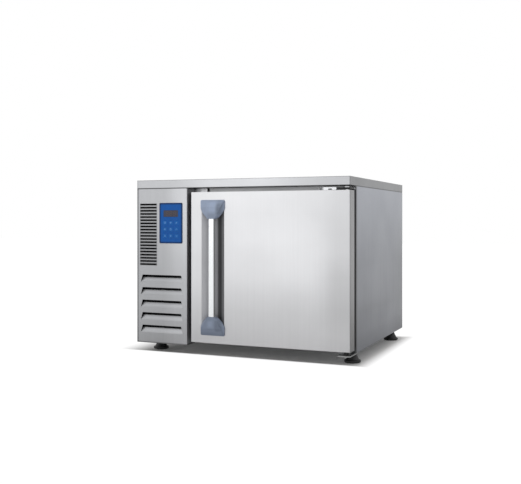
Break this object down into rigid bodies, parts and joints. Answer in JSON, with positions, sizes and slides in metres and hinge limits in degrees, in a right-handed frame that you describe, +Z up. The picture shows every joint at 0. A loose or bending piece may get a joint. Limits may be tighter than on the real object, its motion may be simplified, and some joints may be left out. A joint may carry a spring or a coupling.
{
  "type": "blast chiller",
  "caption": "Counter-height blast chiller with a side service column, a right-hinged insulated door with a recessed bar handle, and tray supports inside.",
  "frame": {"origin": "middle of the whole object's footprint, on the floor", "axes": "+X to the right seen from the front, +Y from the door to the back, +Z up"},
  "size_m": [0.75, 0.727, 0.5845],
  "materials": {
    "steel": "satin",
    "galvanised": "satin",
    "foam": "matte",
    "black_plastic": "matte",
    "graphite_plastic": "matte",
    "motor_black": "satin",
    "blue_panel": "satin",
    "key_blue": "satin",
    "display_smoke": "gloss",
    "cap_blue_grey": "satin",
    "bar_aluminium": "satin",
    "fin_aluminium": "satin",
    "chrome": "polished",
    "nylon": "matte",
    "gasket_rubber": "matte",
    "copper": "satin"
  },
  "bodies": {
    "cabinet": {"back_panel": "steel", "base_panel": "galvanised", "cable_gland": "black_plastic", "capillary_line": "copper", "chamber_back": "steel", "chamber_liner": "steel", "compressor": "motor_black", "compressor_plate": "galvanised", "condenser_coil": "fin_aluminium", "condenser_fan_motor": "motor_black", "condenser_shroud": "galvanised", "control_box": "graphite_plastic", "control_panel": "blue_panel", "discharge_line": "copper", "display_window": "display_smoke", "evaporator_baffle": "steel", "evaporator_coil": "fin_aluminium", "evaporator_fan_motor": "motor_black", "fan_bracket": "galvanised", "foam_insulation": "foam", "foot_back_left": "black_plastic", "foot_back_right": "black_plastic", "foot_front_left": "black_plastic", "foot_front_right": "black_plastic", "front_frame": "steel", "hinge_bracket_lower": "chrome", "hinge_bracket_upper": "chrome", "hinge_pin_lower": "chrome", "hinge_pin_upper": "chrome", "left_side_panel": "steel", "liquid_line": "copper", "partition_panel": "galvanised", "right_side_panel": "steel", "service_front_panel": "steel", "suction_line": "copper", "tray_rack_left": "steel", "tray_rack_right": "steel", "worktop": "steel", "worktop_core": "foam"},
    "door": {"door_outer_skin": "steel", "door_foam": "foam", "door_inner_liner": "steel", "door_gasket": "gasket_rubber", "handle_pan": "steel", "handle_bar": "bar_aluminium", "handle_cap_upper": "cap_blue_grey", "handle_cap_lower": "cap_blue_grey", "hinge_bush_upper": "nylon", "hinge_bush_lower": "nylon"},
    "evaporator_fan_rotor": {"evaporator_fan": "graphite_plastic"},
    "condenser_fan_rotor": {"condenser_fan": "graphite_plastic"},
    "key_1_body": {"key_1": "key_blue"},
    "key_2_body": {"key_2": "key_blue"},
    "key_3_body": {"key_3": "key_blue"},
    "key_4_body": {"key_4": "key_blue"},
    "key_5_body": {"key_5": "key_blue"},
    "key_6_body": {"key_6": "key_blue"},
    "key_7_body": {"key_7": "key_blue"},
    "key_8_body": {"key_8": "key_blue"},
    "key_9_body": {"key_9": "key_blue"}
  },
  "joints": [
    {"name": "door_hinge", "type": "hinge", "parent": "cabinet", "child": "door", "pos_m": [0.357, -0.3215, 0.29625], "axis": [0, 0, 1], "range_deg": [0, 110]},
    {"name": "evaporator_fan_spin", "type": "hinge", "parent": "cabinet", "child": "evaporator_fan_rotor", "pos_m": [-0.0369, 0.00475, 0.2975], "axis": [1, 0, 0], "continuous": true},
    {"name": "condenser_fan_spin", "type": "hinge", "parent": "cabinet", "child": "condenser_fan_rotor", "pos_m": [-0.2791, -0.266, 0.1695], "axis": [0, 1, 0], "continuous": true},
    {"name": "key_1_press", "type": "slide", "parent": "cabinet", "child": "key_1_body", "axis": [0, 1, 0], "range_m": [0, 0.0005], "stiffness_N_per_m": 2000},
    {"name": "key_2_press", "type": "slide", "parent": "cabinet", "child": "key_2_body", "axis": [0, 1, 0], "range_m": [0, 0.0005], "stiffness_N_per_m": 2000},
    {"name": "key_3_press", "type": "slide", "parent": "cabinet", "child": "key_3_body", "axis": [0, 1, 0], "range_m": [0, 0.0005], "stiffness_N_per_m": 2000},
    {"name": "key_4_press", "type": "slide", "parent": "cabinet", "child": "key_4_body", "axis": [0, 1, 0], "range_m": [0, 0.0005], "stiffness_N_per_m": 2000},
    {"name": "key_5_press", "type": "slide", "parent": "cabinet", "child": "key_5_body", "axis": [0, 1, 0], "range_m": [0, 0.0005], "stiffness_N_per_m": 2000},
    {"name": "key_6_press", "type": "slide", "parent": "cabinet", "child": "key_6_body", "axis": [0, 1, 0], "range_m": [0, 0.0005], "stiffness_N_per_m": 2000},
    {"name": "key_7_press", "type": "slide", "parent": "cabinet", "child": "key_7_body", "axis": [0, 1, 0], "range_m": [0, 0.0005], "stiffness_N_per_m": 2000},
    {"name": "key_8_press", "type": "slide", "parent": "cabinet", "child": "key_8_body", "axis": [0, 1, 0], "range_m": [0, 0.0005], "stiffness_N_per_m": 2000},
    {"name": "key_9_press", "type": "slide", "parent": "cabinet", "child": "key_9_body", "axis": [0, 1, 0], "range_m": [0, 0.0005], "stiffness_N_per_m": 2000}
  ]
}
